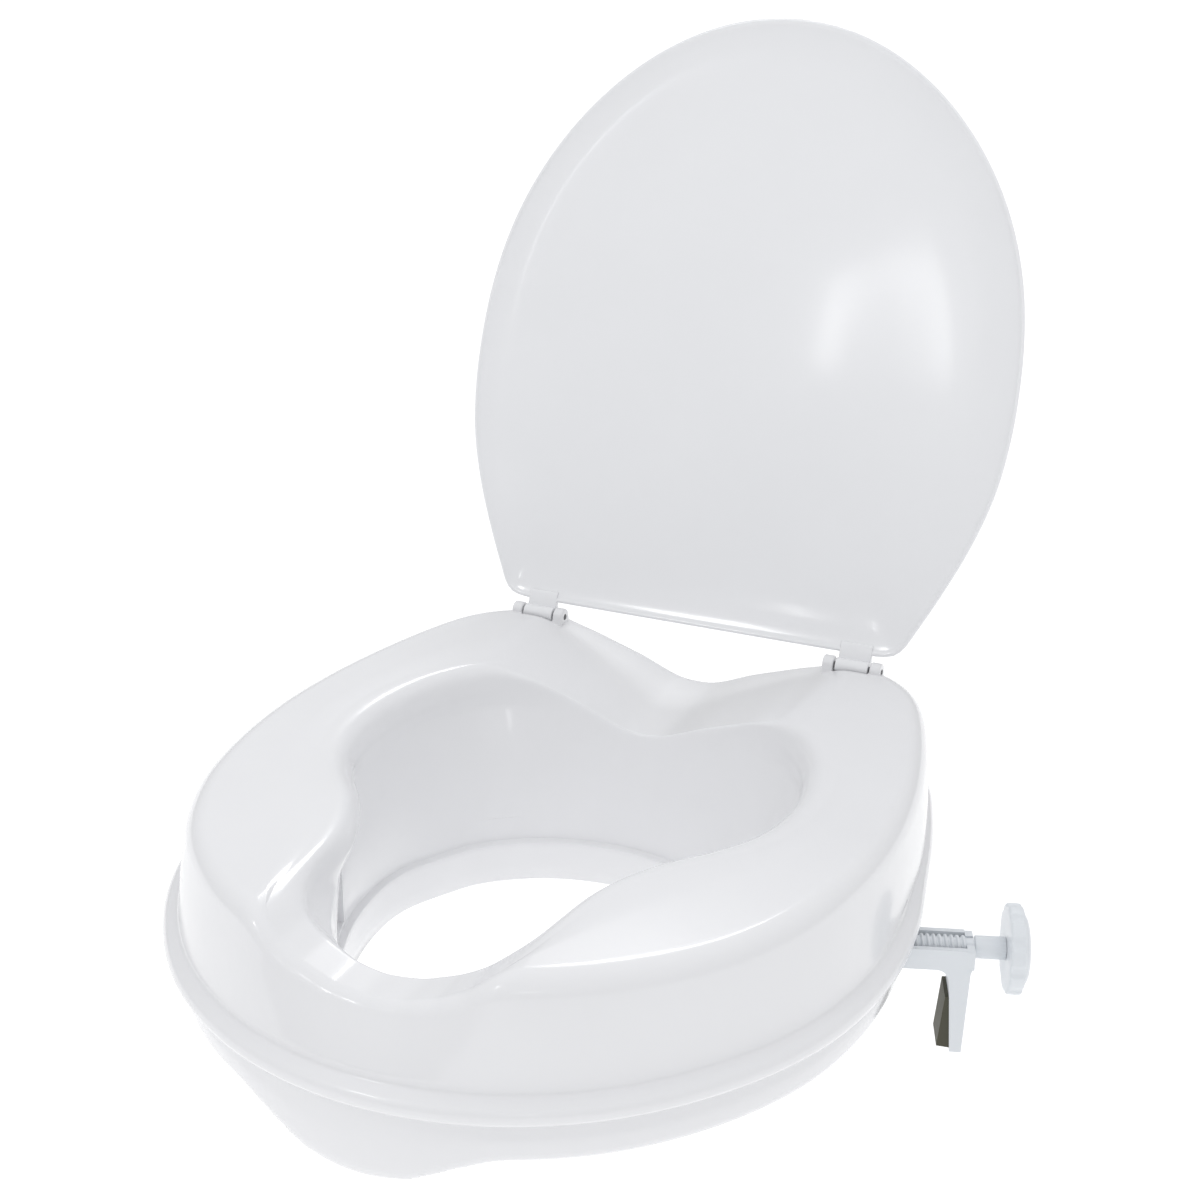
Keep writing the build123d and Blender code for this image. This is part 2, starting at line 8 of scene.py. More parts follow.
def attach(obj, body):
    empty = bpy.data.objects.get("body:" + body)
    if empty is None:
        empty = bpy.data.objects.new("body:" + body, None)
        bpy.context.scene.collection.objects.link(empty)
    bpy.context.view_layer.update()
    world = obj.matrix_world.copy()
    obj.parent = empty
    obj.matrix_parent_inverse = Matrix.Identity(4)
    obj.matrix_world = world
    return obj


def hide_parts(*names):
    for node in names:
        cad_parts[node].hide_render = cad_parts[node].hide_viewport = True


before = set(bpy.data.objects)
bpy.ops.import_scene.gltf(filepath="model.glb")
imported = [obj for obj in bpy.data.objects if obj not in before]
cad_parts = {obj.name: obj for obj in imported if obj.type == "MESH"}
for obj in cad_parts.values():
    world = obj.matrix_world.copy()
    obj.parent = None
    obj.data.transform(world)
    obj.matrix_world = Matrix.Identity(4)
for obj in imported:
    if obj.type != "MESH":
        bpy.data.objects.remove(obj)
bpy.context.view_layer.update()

MM = 0.001

# ------------------------------------------------------------------ sizes, in mm, in the row frame
CY = -36.0
HY, HZ = 171.5, 93.3
TOPZ = 93.5
AZ = 19.0
LEAN = math.radians(20.4)
SCREW_Z = 11.6

TOP = [(0, -203), (28, -202), (52.6, -198.8), (76, -189), (99.6, -175), (137.6, -140), (161.8, -95.8), (173.8, -49),
       (178.6, -2.4), (175.6, 45), (170.5, 75), (163.5, 105), (152, 141), (143.5, 158), (131, 171), (114, 180),
       (88, 184.5), (48, 186.5), (0, 187)]
BEAD = [(0, -226), (57.4, -216.6), (108.3, -189.9), (148.1, -150.5), (175.6, -103.8), (188.3, -53.1), (189, -2.4),
        (180.6, 48), (175, 79), (168, 109), (157, 145), (147.5, 163), (134, 177), (116, 186), (88, 190.5),
        (48, 192.5), (0, 193)]
LEDGE = [(0, -152), (30, -147), (58, -130), (80, -105), (97, -72), (105.5, -42), (107.5, -12), (104, 5), (98, 17),
         (91, 29), (84, 40), (75, 49), (56, 62), (34, 71), (10, 75.5), (0, 76)]
RIM = [(0, -181), (25, -176), (42, -163), (55, -142), (68, -115), (86, -88), (104, -61), (113, -36), (118, -5),
       (118, 18), (115, 38), (109, 56), (96, 76), (80, 87), (60, 93), (30, 97), (0, 98)]
NOSE = [(0, -185), (28, -181), (46, -172), (56, -155), (60, -140), (62, -122), (64, -110), (71, -93), (78, -80),
        (86, -68), (100, -51), (112, -33), (119, -8), (120, 14), (117, 36), (111, 56), (98, 77), (82, 89), (61, 96),
        (31, 100), (0, 101)]
CREST = [(0, -190), (30, -190), (52, -187), (60, -170), (64, -147), (68, -125), (75, -103), (88, -80), (108, -57),
         (122, -34), (129, -8), (130, 14), (127, 36), (120, 58), (105, 82), (88, 94), (66, 102), (36, 107), (0, 110)]
LID = [(0, 377.6), (35.5, 373), (68.6, 359.9), (97.5, 340.3), (121.6, 316.4), (140.9, 289.7), (155.4, 261.2),
       (165.2, 231.6), (170.7, 201.6), (172.8, 171.5), (172.3, 141.1), (168.4, 110.2), (159.5, 79.4), (146, 47),
       (136, 26.5), (129, 13.5), (124.5, 10), (117, 8.6), (100, 8.2), (60, 8), (0, 8)]
FRONT_DIP = [(0, 70.5), (18, 72), (34, 76.5), (47, 82.5), (56, 89), (68, 96)]
REAR_DIP = [(0, 60.5), (12, 61.5), (24, 66.5), (36, 72), (50, 77), (68, 83.5), (84, 88.5), (100, 96)]
TONGUE = [(0, -11), (18, -9.8), (30, -6), (42, -0.5), (54, 5), (66, 8.8), (80, 9.0)]


# ------------------------------------------------------------------ helpers
def dense(half, per=40):
    pts = [np.array(p, float) for p in half] + [np.array((-p[0], p[1]), float) for p in half[-2:0:-1]]
    m = len(pts)
    out = []
    for i in range(m):
        p0, p1, p2, p3 = pts[i - 1], pts[i], pts[(i + 1) % m], pts[(i + 2) % m]
        l1, l2, l3 = (max(np.linalg.norm(b - a), 1e-6) for a, b in ((p0, p1), (p1, p2), (p2, p3)))
        t1 = ((p1 - p0) / l1 + (p2 - p1) / l2) * l2 / 2
        t2 = ((p2 - p1) / l2 + (p3 - p2) / l3) * l2 / 2
        for u in np.linspace(0, 1, per, endpoint=False):
            out.append((2 * u**3 - 3 * u**2 + 1) * p1 + (u**3 - 2 * u**2 + u) * t1
                       + (-2 * u**3 + 3 * u**2) * p2 + (u**3 - u**2) * t2)
    return np.array(out)


def grow(points, d):
    t = np.roll(points, -1, 0) - np.roll(points, 1, 0)
    t /= np.linalg.norm(t, axis=1)[:, None]
    nrm = np.c_[t[:, 1], -t[:, 0]]
    if ((points - points.mean(0)) * nrm).sum() < 0:
        nrm = -nrm
    return points + nrm * d


def radius(points, cy, ang, sigma=0.0):
    """Distance of the outline from (0, cy) at each polar angle (0 is -Y, growing towards +X)."""
    a = np.mod(np.arctan2(points[:, 0], -(points[:, 1] - cy)), 2 * math.pi)
    r = np.hypot(points[:, 0], points[:, 1] - cy)
    o = np.argsort(a)
    a, r = a[o], r[o]
    a = np.r_[a[-1] - 2 * math.pi, a, a[0] + 2 * math.pi]
    r = np.r_[r[-1], r, r[0]]
    fine = np.arange(2880) * 2 * math.pi / 2880
    rr = np.interp(fine, a, r)
    if sigma:
        k = np.fft.rfftfreq(2880, 1 / 2880)
        rr = np.fft.irfft(np.fft.rfft(rr) * np.exp(-0.5 * (k * math.radians(sigma))**2), 2880)
    return np.interp(np.mod(ang, 2 * math.pi), np.r_[fine, 2 * math.pi], np.r_[rr, rr[0]])


def softmin(a, b, k):
    h = np.clip(0.5 + 0.5 * (b - a) / k, 0, 1)
    return b * (1 - h) + a * h - k * h * (1 - h)


def softmax(a, b, k):
    return -softmin(-a, -b, k)


def curve_through(pts, per):
    """Smooth polyline through 2-D control points (centripetal-like Hermite)."""
    p = np.array(pts, float)
    out = []
    for i in range(len(p) - 1):
        p0 = p[max(i - 1, 0)]
        p1, p2 = p[i], p[i + 1]
        p3 = p[min(i + 2, len(p) - 1)]
        l = np.linalg.norm(p2 - p1)
        la, lc = max(np.linalg.norm(p1 - p0), 1e-6), max(np.linalg.norm(p3 - p2), 1e-6)
        t1 = ((p1 - p0) / la + (p2 - p1) / l) * l / 2 if i > 0 else (p2 - p1)
        t2 = ((p2 - p1) / l + (p3 - p2) / lc) * l / 2 if i < len(p) - 2 else (p2 - p1)
        for u in np.linspace(0, 1, per, endpoint=False):
            out.append((2 * u**3 - 3 * u**2 + 1) * p1 + (u**3 - 2 * u**2 + u) * t1
                       + (-2 * u**3 + 3 * u**2) * p2 + (u**3 - u**2) * t2)
    out.append(p[-1])
    return np.array(out)


def make_object(name, verts, faces, material, body, sharp=35.0, replace=(), ridden=True):
    me = bpy.data.meshes.new(name)
    me.from_pydata([tuple(float(c) * MM for c in v) for v in verts], [], [tuple(int(i) for i in f) for f in faces])
    me.validate()
    me.update()
    ob = bpy.data.objects.new(name, me)
    bpy.context.scene.collection.objects.link(ob)
    if material:
        me.materials.append(material)
    me.shade_smooth()
    if sharp:
        me.set_sharp_from_angle(angle=math.radians(sharp))
    if ridden:
        if replace:
            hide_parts(*replace)
        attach(ob, body)
    return ob


def grid_faces(rows, cols, close_rows=False, close_cols=True, flip=False):
    f = []
    for i in range(rows if close_rows else rows - 1):
        i2 = (i + 1) % rows
        for j in range(cols if close_cols else cols - 1):
            j2 = (j + 1) % cols
            q = (i * cols + j, i * cols + j2, i2 * cols + j2, i2 * cols + j)
            f.append(q[::-1] if flip else q)
    return f


def bevel(ob, width, segments=2, angle=40):
    m = ob.modifiers.new("edge", "BEVEL")
    m.width = width * MM
    m.segments = segments
    m.limit_method = "ANGLE"
    m.angle_limit = math.radians(angle)
    m.harden_normals = False
    return m


def direction(side):
    a = math.radians(AZ if side > 0 else 180 - AZ)
    return np.array([math.cos(a), math.sin(a), 0.0]), np.array([-math.sin(a), math.cos(a), 0.0])


# ------------------------------------------------------------------ materials
def plastic(name, color, rough=0.28, vary=0.02, bump=0.02, coat=0.25, ripple=0.05, grain=900.0, subsurface=0.0):
    """Moulded plastic: faint flow marks and sink, a fine grain, and roughness that drifts."""
    m = bpy.data.materials.new(name)
    m.use_nodes = True
    nt = m.node_tree
    nt.nodes.clear()
    out = nt.nodes.new("ShaderNodeOutputMaterial")
    bs = nt.nodes.new("ShaderNodeBsdfPrincipled")
    tc = nt.nodes.new("ShaderNodeTexCoord")
    flow = nt.nodes.new("ShaderNodeTexNoise")
    flow.inputs["Scale"].default_value = 14
    flow.inputs["Detail"].default_value = 4
    flow.inputs["Roughness"].default_value = 0.55
    fine = nt.nodes.new("ShaderNodeTexNoise")
    fine.inputs["Scale"].default_value = grain
    fine.inputs["Detail"].default_value = 2
    sink = nt.nodes.new("ShaderNodeTexNoise")
    sink.inputs["Scale"].default_value = 22
    sink.inputs["Detail"].default_value = 1
    for n in (flow, fine, sink):
        nt.links.new(tc.outputs["Object"], n.inputs["Vector"])
    ramp = nt.nodes.new("ShaderNodeMix")
    ramp.data_type = "RGBA"
    ramp.inputs["A"].default_value = (*[c * (1 - vary) for c in color], 1)
    ramp.inputs["B"].default_value = (*[min(c * (1 + vary), 1) for c in color], 1)
    nt.links.new(flow.outputs["Fac"], ramp.inputs["Factor"])
    nt.links.new(ramp.outputs["Result"], bs.inputs["Base Color"])
    mr = nt.nodes.new("ShaderNodeMapRange")
    mr.inputs["From Min"].default_value = 0.0
    mr.inputs["From Max"].default_value = 1.0
    mr.inputs["To Min"].default_value = rough * 0.85
    mr.inputs["To Max"].default_value = rough * 1.15
    nt.links.new(sink.outputs["Fac"], mr.inputs["Value"])
    nt.links.new(mr.outputs["Result"], bs.inputs["Roughness"])
    b1 = nt.nodes.new("ShaderNodeBump")
    b1.inputs["Strength"].default_value = ripple
    b1.inputs["Distance"].default_value = 0.001
    nt.links.new(sink.outputs["Fac"], b1.inputs["Height"])
    b2 = nt.nodes.new("ShaderNodeBump")
    b2.inputs["Strength"].default_value = bump
    b2.inputs["Distance"].default_value = 0.0002
    nt.links.new(fine.outputs["Fac"], b2.inputs["Height"])
    nt.links.new(b1.outputs["Normal"], b2.inputs["Normal"])
    nt.links.new(b2.outputs["Normal"], bs.inputs["Normal"])
    bs.inputs["IOR"].default_value = 1.49
    bs.inputs["Coat Weight"].default_value = coat
    bs.inputs["Coat Roughness"].default_value = 0.08
    if subsurface:
        bs.inputs["Subsurface Weight"].default_value = subsurface
        bs.inputs["Subsurface Radius"].default_value = (0.004, 0.004, 0.004)
        bs.inputs["Subsurface Scale"].default_value = 1.0
    nt.links.new(bs.outputs["BSDF"], out.inputs["Surface"])
    return m


def rubber(name, color):
    m = plastic(name, color, rough=0.62, vary=0.12, bump=0.35, coat=0.0, ripple=0.12, grain=1600.0)
    return m


def steel(name, color):
    m = plastic(name, color, rough=0.38, vary=0.10, bump=0.15, coat=0.0, ripple=0.05, grain=2500.0)
    for n in m.node_tree.nodes:
        if n.type == "BSDF_PRINCIPLED":
            n.inputs["Metallic"].default_value = 1.0
    return m


SEAT = plastic("seat_white", (0.812, 0.814, 0.83), rough=0.24, ripple=0.10, bump=0.03, coat=0.6)
LIDM = plastic("lid_white", (0.84, 0.845, 0.862), rough=0.16, ripple=0.07, bump=0.02, coat=0.7)
CLAMP = plastic("clamp_white", (0.74, 0.77, 0.80), rough=0.33, vary=0.03, ripple=0.12, bump=0.06, coat=0.15)
THREAD = plastic("screw_white", (0.76, 0.79, 0.82), rough=0.36, vary=0.03, ripple=0.05, bump=0.05, coat=0.1)
NUT = plastic("nut_grey", (0.62, 0.63, 0.64), rough=0.5, vary=0.04, bump=0.12, coat=0.0)
RUBBER = rubber("rubber_olive", (0.060, 0.058, 0.036))
STEEL = steel("steel_dull", (0.36, 0.36, 0.37))
PIN = steel("pin_dark", (0.11, 0.11, 0.115))

# ------------------------------------------------------------------ seat body: one closed skin
# polar angles about the aperture's centre, closer together at the niches and the lobe ends
base = np.linspace(0, 2 * math.pi, 361)[:-1]
extra = []
for c, w, n in ((20, 12, 34), (340, 12, 34), (69, 12, 20), (291, 12, 20)):
    extra += list(np.radians(np.linspace(c - w, c + w, n)))
ANG = np.unique(np.round(np.mod(np.r_[base, extra], 2 * math.pi), 5))
NA = len(ANG)
SX, SY = np.sin(ANG), -np.cos(ANG)

top_d, bead_d, ledge_d, rim_d, nose_d, crest_d = (dense(p) for p in (TOP, BEAD, LEDGE, RIM, NOSE, CREST))


def R(poly, d=0.0, sigma=1.6):
    return radius(grow(poly, d) if d else poly, CY, ANG, sigma)


r_top = R(top_d)
r_wt = R(top_d, 3.5)
r_wb = softmax(R(bead_d, -6), r_wt + 0.3, 3.0)
r_rim = R(rim_d, 0, 1.6)
r_nose = R(nose_d, 0, 1.6)
r_crest = R(crest_d, 0, 1.6)
r_ledge = R(ledge_d, 0, 1.2)


def dip_at(x, half, soft=1.2):
    """Height of a dip's surface over x, smoothed."""
    xs = np.array([p[0] for p in half], float)
    zs = np.array([p[1] for p in half], float)
    fx = np.linspace(-140, 140, 1121)
    ax = np.abs(fx)
    fz = np.interp(ax, xs, zs)
    fz = np.where(ax > xs[-1], zs[-1] + (ax - xs[-1]) * 0.9, fz)
    k = np.exp(-0.5 * (np.linspace(-12, 12, 97) / (3.2 * soft))**2)
    k /= k.sum()
    fz = np.convolve(np.r_[fz[0] + np.zeros(48), fz, fz[-1] + np.zeros(48)], k, "valid")
    return np.interp(x, fx, fz)


def top_limit(x, y):
    """Highest level at (x, y): the dips at front and rear cut into the flat seating surface."""
    f = dip_at(x, FRONT_DIP, 0.5) + np.clip((y + 120) / 30, 0, 1) * 60
    r = dip_at(x, REAR_DIP, 1.3) + np.clip((60 - y) / 30, 0, 1) * 60
    return softmin(softmin(np.full_like(x, TOPZ), f, 2.8), r, 5.0)


rings = []          # (radius, z) per angle


def xy(r):
    return r * SX, CY + r * SY


def push(r, z):
    rings.append((np.array(r, float) + np.zeros(NA), np.array(z, float) + np.zeros(NA)))


def limit(r):
    x, y = xy(r)
    return top_limit(x, y)


z_rim = softmin(np.full(NA, 69.0), limit(r_rim) - 3.5, 3.0)

# the wall line runs from its foot above the bead to a virtual corner with the top, and the corner is rounded
FOOT = 47.5
p_r = r_top + 0.7
p_z = limit(p_r)
wall = np.stack([p_r - r_wb, p_z - FOOT], 1)
wall /= np.linalg.norm(wall, axis=1)[:, None]
turn = np.arccos(np.clip(-wall[:, 0] * 1.0, -1, 1))          # angle between the wall line and the inward direction
turn = np.clip(turn, 0.5, 1.5)
fil = 12.0 - 3.5 * np.clip((TOPZ - p_z) / 22, 0, 1)
tan_l = fil * np.tan(turn / 2)
a_r = p_r - tan_l
c_r, c_z = p_r - wall[:, 0] * tan_l, p_z - wall[:, 1] * tan_l

# inner edge: from the rim of the inner wall, over the lobe's nose where it overhangs, to the seating surface
M1 = 26
knots_r = [r_rim, r_rim + (r_nose - r_rim) * 0.55, r_nose, r_nose + (r_crest - r_nose) * 0.33, r_crest, r_crest + 8]
knots_z = [z_rim, z_rim + (80 - 69) * 0.5, z_rim + 11.0, z_rim + 18.4, z_rim + 23.0, z_rim + (TOPZ - 69)]
KR, KZ = np.array(knots_r), np.array(knots_z)
for i in range(len(KR) - 1):
    n = (4, 4, 5, 6, 6)[i]
    r0, r1, r2, r3 = KR[max(i - 1, 0)], KR[i], KR[i + 1], KR[min(i + 2, len(KR) - 1)]
    z0, z1, z2, z3 = KZ[max(i - 1, 0)], KZ[i], KZ[i + 1], KZ[min(i + 2, len(KR) - 1)]
    for u in np.linspace(0, 1, n, endpoint=False):
        h = (2 * u**3 - 3 * u**2 + 1, u**3 - 2 * u**2 + u, -2 * u**3 + 3 * u**2, u**3 - u**2)
        r = h[0] * r1 + h[1] * (r2 - r0) / 2 + h[2] * r2 + h[3] * (r3 - r1) / 2
        z = h[0] * z1 + h[1] * (z2 - z0) / 2 + h[2] * z2 + h[3] * (z3 - z1) / 2
        r = np.minimum(r, a_r - 1.0 + 0.02 * len(rings))
        push(r, softmin(z, limit(r), 4.0) if len(rings) else z)
# seating surface
r_s = np.minimum(r_crest + 8, a_r - 0.4)
for t in np.linspace(0, 1, 22):
    r = r_s + (a_r - r_s) * t
    zi = z_rim + (TOPZ - 69) + 6 * t
    push(r, softmin(zi, limit(r), 4.0 * (1 - t) + 0.01))
M = len(rings)
# rounded outer edge
for u in np.linspace(0, 1, 13)[1:]:
    # circular arc from A (on the top) to C (on the wall)
    w = 2 * u * (1 - u) * np.cos(turn / 2)
    b = (1 - u)**2 + u**2 + w
    r = ((1 - u)**2 * a_r + w * p_r + u**2 * c_r) / b
    zg = ((1 - u)**2 * p_z + w * p_z + u**2 * c_z) / b
    push(r, limit(r) * (1 - u) + p_z * u - (p_z - zg))
# outer wall down to the foot above the bead
for t in np.linspace(0, 1, 15)[1:]:
    push(c_r + (r_wb - c_r) * t + 0.6 * np.sin(math.pi * t), c_z + (FOOT - c_z) * t)
z_wt = c_z

# bead and skirt: (offset from the bead outline, z)
zb = np.full(NA, 9.0)
x_b, y_b = xy(R(bead_d, -5))
tongue_z = np.interp(np.abs(x_b), [p[0] for p in TONGUE], [p[1] for p in TONGUE])
kk = np.exp(-0.5 * (np.arange(-9, 10) / 3.0)**2)
kk /= kk.sum()
tongue_z = np.convolve(np.r_[tongue_z[-9:], tongue_z, tongue_z[:9]], kk, "valid")
zb = np.where(y_b < 0, np.minimum(9.0, tongue_z), 9.0)
rear = r_wb - R(bead_d, -6)               # how far the wall's foot is out from the bead line at the rear sides
prof = curve_through([(-6.0, 47.5), (-5.2, 44.2), (-2.0, 42.6), (1.3, 40.4), (2.5, 37.0), (1.3, 33.6), (-2.6, 31.6),
                      (-5.2, 29.6), (-5.3, 25.5), (-4.6, 21.0), (-4.8, 16.0), (-5.3, 12.6), (-6.6, 10.2), (-8.2, 9.2),
                      (-9.6, 9.0)], 4)
bead_cache = {}
for o, z in prof[1:]:
    key = round(float(o), 2)
    r = R(bead_d, float(o))
    w = np.clip((z - 36) / 11.5, 0, 1)     # blend to the wall's own foot near the top of the bead
    r = softmax(r, r_wb - 1.0 + 0 * r, 1.0) if z > 41 else r
    zz = z if z >= 29 else zb + (z - 9.0) * (29 - zb) / 20.0
    push(r, zz)

# underside: up inside the skirt, across under the seat, down the inner wall, flange and collar
b_in = R(bead_d, -11.0)
push(b_in, zb + 0.0)
push(R(bead_d, -11.6), zb + 1.2)
push(R(bead_d, -11.2), np.full(NA, 30.0))
push(r_wb - 5.0, 47.0)
push(np.minimum(r_wt, c_r) - 5.0, np.minimum(78.0, c_z - 3.0))


def under(r, z, gap=4.8):
    x, y = xy(r)
    return np.minimum(z, top_limit(x, y) - gap)


push(a_r - 3.0, under(a_r - 3.0, 88.5, 5.5))
for t in (0.25, 0.5, 0.75, 1.0):
    r = (a_r - 3.0) * (1 - t) + np.minimum(r_crest + 8.0, a_r - 4.0) * t
    push(r, under(r, 88.5, 5.5))
mid = np.minimum(r_nose + 6.0, a_r - 4.5)
push(mid, under(mid, 80.0, 8.0))
push(r_rim + 4.4, np.minimum(66.0, z_rim - 3.0))
push(R(ledge_d, 8.5), 8.0)
push(R(ledge_d, 10.0), 7.0)
push(R(ledge_d, 33.5), 7.0)
push(R(ledge_d, 34.5), 6.0)
push(R(ledge_d, 34.5), 4.0)
push(R(ledge_d, 33.5), 3.0)
push(R(ledge_d, 9.0), 3.0)
push(R(ledge_d, 8.5), 2.5)
push(R(ledge_d, 8.3), -6.0)
push(R(ledge_d, 7.5), -7.0)
push(R(ledge_d, 5.2), -7.0)
push(R(ledge_d, 4.5), -7.8)
push(R(ledge_d, 4.4), -28.8)
for a in np.radians([0, 45, 90, 135, 180]):
    push(R(ledge_d, 2.2 + 2.1 * math.cos(a)), -28.9 - 1.1 * math.sin(a))
# collar inside, ledge step, inner wall up to the rim
push(R(ledge_d, 0.0), -20.0)
push(R(ledge_d, 0.0), -9.0)
push(R(ledge_d, 0.1), -6.2)
push(R(ledge_d, 0.5), -5.3)
push(R(ledge_d, 1.4), -4.9)
push(R(ledge_d, 3.2), -4.7)
push(R(ledge_d, 4.2), -4.2)
push(R(ledge_d, 4.6), -3.0)
r_lo = R(ledge_d, 4.6)
for t in np.linspace(0, 1, 26)[1:-1]:
    push(r_lo + (r_rim - r_lo) * (0.9 * t + 0.1 * t**3), -3.0 + (z_rim + 3.0) * t)

verts = []
for r, z in rings:
    x, y = xy(r)
    verts.append(np.c_[x, y, z])
verts = np.vstack(verts)
seat = make_object("seat_body", verts, grid_faces(len(rings), NA, close_rows=True), SEAT, "seat", ridden=False, sharp=None)


# cutters: arched niches, knuckle grooves, slots of the clamp arms
def prism(poly, frame_fn, d0, d1):
    """Closed prism: 2-D polygon, placed by frame_fn(u, v, depth)."""
    n = len(poly)
    v = [frame_fn(p[0], p[1], d0) for p in poly] + [frame_fn(p[0], p[1], d1) for p in poly]
    f = [tuple(range(n))[::-1], tuple(range(n, 2 * n))]
    f += [(i, (i + 1) % n, n + (i + 1) % n, n + i) for i in range(n)]
    return v, f


def join_meshes(parts):
    V, F = [], []
    for v, f in parts:
        o = len(V)
        V += list(v)
        F += [tuple(i + o for i in q) for q in f]
    return V, F


def fix_normals(ob):
    import bmesh
    bm = bmesh.new()
    bm.from_mesh(ob.data)
    bmesh.ops.recalc_face_normals(bm, faces=bm.faces)
    bm.to_mesh(ob.data)
    bm.free()


cut = []
for deg in (-21, 201):
    a = math.radians(deg)
    n3 = np.array([math.cos(a), math.sin(a), 0])
    t3 = np.array([-math.sin(a), math.cos(a), 0])
    poly = [(-15, -2.0), (15, -2.0), (15, 23)] + [(15 * math.cos(q), 23 + 15 * math.sin(q)) for q in np.linspace(0.12, math.pi - 0.12, 22)] + [(-15, 23)]
    cut.append(prism(poly, lambda u, v, d, n3=n3, t3=t3: np.array([0, CY, 0]) + n3 * d + t3 * u + np.array([0, 0, v]), 92, 111.0))
for sx in (-1, 1):
    poly = [(HY + 6.2 * math.cos(q), HZ + 6.2 * math.sin(q)) for q in np.linspace(0, 2 * math.pi, 40, endpoint=False)]
    cut.append(prism(poly, lambda u, v, d: np.array([d, u, v]), sx * 92.0, sx * 113.0))
for side in (-1, 1):
    u3, t3 = direction(side)
    poly = [(-11, -20), (11, -20), (11, 17.5), (8.5, 20), (-8.5, 20), (-11, 17.5)]
    cut.append(prism(poly, lambda u, v, d, u3=u3, t3=t3: np.array([0, CY, 0]) + u3 * d + t3 * u + np.array([0, 0, v]), 124, 225))
cv, cf = join_meshes(cut)
cutter = make_object("cutter", cv, cf, None, "seat", ridden=False, sharp=None)
fix_normals(cutter)
fix_normals(seat)
bm_mod = seat.modifiers.new("cut", "BOOLEAN")
bm_mod.operation = "DIFFERENCE"
bm_mod.solver = "EXACT"
bm_mod.object = cutter
dg = bpy.context.evaluated_depsgraph_get()
cut_mesh = bpy.data.meshes.new_from_object(seat.evaluated_get(dg))
seat.modifiers.clear()
seat.data = cut_mesh
cut_mesh.name = "seat_body"
bpy.data.objects.remove(cutter, do_unlink=True)
cut_mesh.shade_smooth()
cut_mesh.set_sharp_from_angle(angle=math.radians(38))
if not cut_mesh.materials:
    cut_mesh.materials.append(SEAT)
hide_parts("seat_shell", "seat_collar")
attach(seat, "seat")

# ribs, nut blocks and bosses in the hollow under the seat
parts = []


def rad_at(arr, deg):
    """Value of a per-angle array in the direction deg, measured from +X."""
    th = math.radians(deg + 90) % (2 * math.pi)
    return float(np.interp(th, np.r_[ANG, ANG[0] + 2 * math.pi], np.r_[arr, arr[0]]))


def radial_plate(deg, t0, t1, z0, z1, s_in, s_out):
    """Upright plate along a direction; s_in and s_out give (z, s) pairs of its two ends."""
    a = math.radians(deg)
    u3 = np.array([math.cos(a), math.sin(a), 0])
    t3 = np.array([-math.sin(a), math.cos(a), 0])
    poly = [(s, z) for z, s in s_in] + [(s, z) for z, s in reversed(s_out)]
    return prism(poly, lambda s, z, d: np.array([0, CY, 0]) + u3 * s + t3 * d + np.array([0, 0, z]), t0, t1)


for deg in (-54, -126, 62, 118):
    lo, hi, ri = rad_at(R(ledge_d, 8.5), deg), rad_at(b_in, deg), rad_at(r_rim + 4.2, deg)
    wb, cr, rt = rad_at(r_wb - 5.5, deg), rad_at(r_crest + 6, deg), rad_at(a_r - 4, deg)
    parts.append(radial_plate(deg, -1.5, 1.5, 7.5, 85, [(7.5, lo), (66, ri), (84, cr)],
                              [(10, hi), (47, wb), (84, rt)]))
for side in (-1, 1):
    deg = AZ if side > 0 else 180 - AZ
    lo, hi, ri = rad_at(R(ledge_d, 8.5), deg) + 1, rad_at(b_in, deg), rad_at(r_rim + 4.2, deg) + 1
    wb, cr, rt = rad_at(r_wb - 5.5, deg), rad_at(r_crest + 6, deg), rad_at(a_r - 4, deg)
    for t in (12.9, -12.9):
        parts.append(radial_plate(deg, t - 1.6, t + 1.6, 3, 85, [(7.5, lo + 1), (66, ri), (84, cr)],
                                  [(10, hi - 4), (47, wb), (84, rt)]))
        parts.append(radial_plate(deg, t - 1.6, t + 1.6, 3, 12, [(3.02, 136), (12, 136)], [(3.02, 180), (12, 180)]))
    parts.append(radial_plate(deg, -11.4, 11.4, 26, 32, [(26.1, 146), (32, 146)], [(26.1, 166), (32, 166)]))
    u3, t3 = direction(side)
    for t in (18.5, -18.5):
        c = np.array([0, CY, 0]) + u3 * 172 + t3 * t
        poly = [(5 * math.cos(q), 5 * math.sin(q)) for q in np.linspace(0, 2 * math.pi, 28, endpoint=False)]
        parts.append(prism(poly, lambda u, v, d, c=c: c + np.array([u, v, d]), 3.02, 30))
rv, rf = join_meshes(parts)
ribs = make_object("seat_ribs", rv, rf, SEAT, "seat", sharp=30)
fix_normals(ribs)


# hinge ears, moulded with the seat
def ear_profile():
    pts = [(HY + 5.2 * math.cos(q), HZ + 5.2 * math.sin(q)) for q in np.linspace(0, math.pi, 19)]
    return pts + [(HY - 6.2, HZ - 3.0), (HY - 7.0, 86.0), (HY + 7.0, 86.0), (HY + 6.2, HZ - 3.0)]


parts = []
for sx in (-1, 1):
    for x0, x1 in ((85.0, 91.5), (113.5, 120.0)):
        parts.append(prism(ear_profile(), lambda u, v, d: np.array([d, u, v]), sx * x0, sx * x1))
ev, ef = join_meshes(parts)
ears = make_object("hinge_ears", ev, ef, SEAT, "seat", sharp=40)
fix_normals(ears)
bevel(ears, 0.9, 3, 50)

# ------------------------------------------------------------------ lid
LS = np.array([0, math.sin(LEAN), math.cos(LEAN)])
LW = np.array([0, math.cos(LEAN), -math.sin(LEAN)])
NL = 300
la = np.arange(NL) * 2 * math.pi / NL
lid_dense = dense(LID)
lr = radius(lid_dense, 190.0, la, 0.6)


def lid_point(x, s, w):
    return np.array([x, HY, HZ]) + LS * s + LW * w


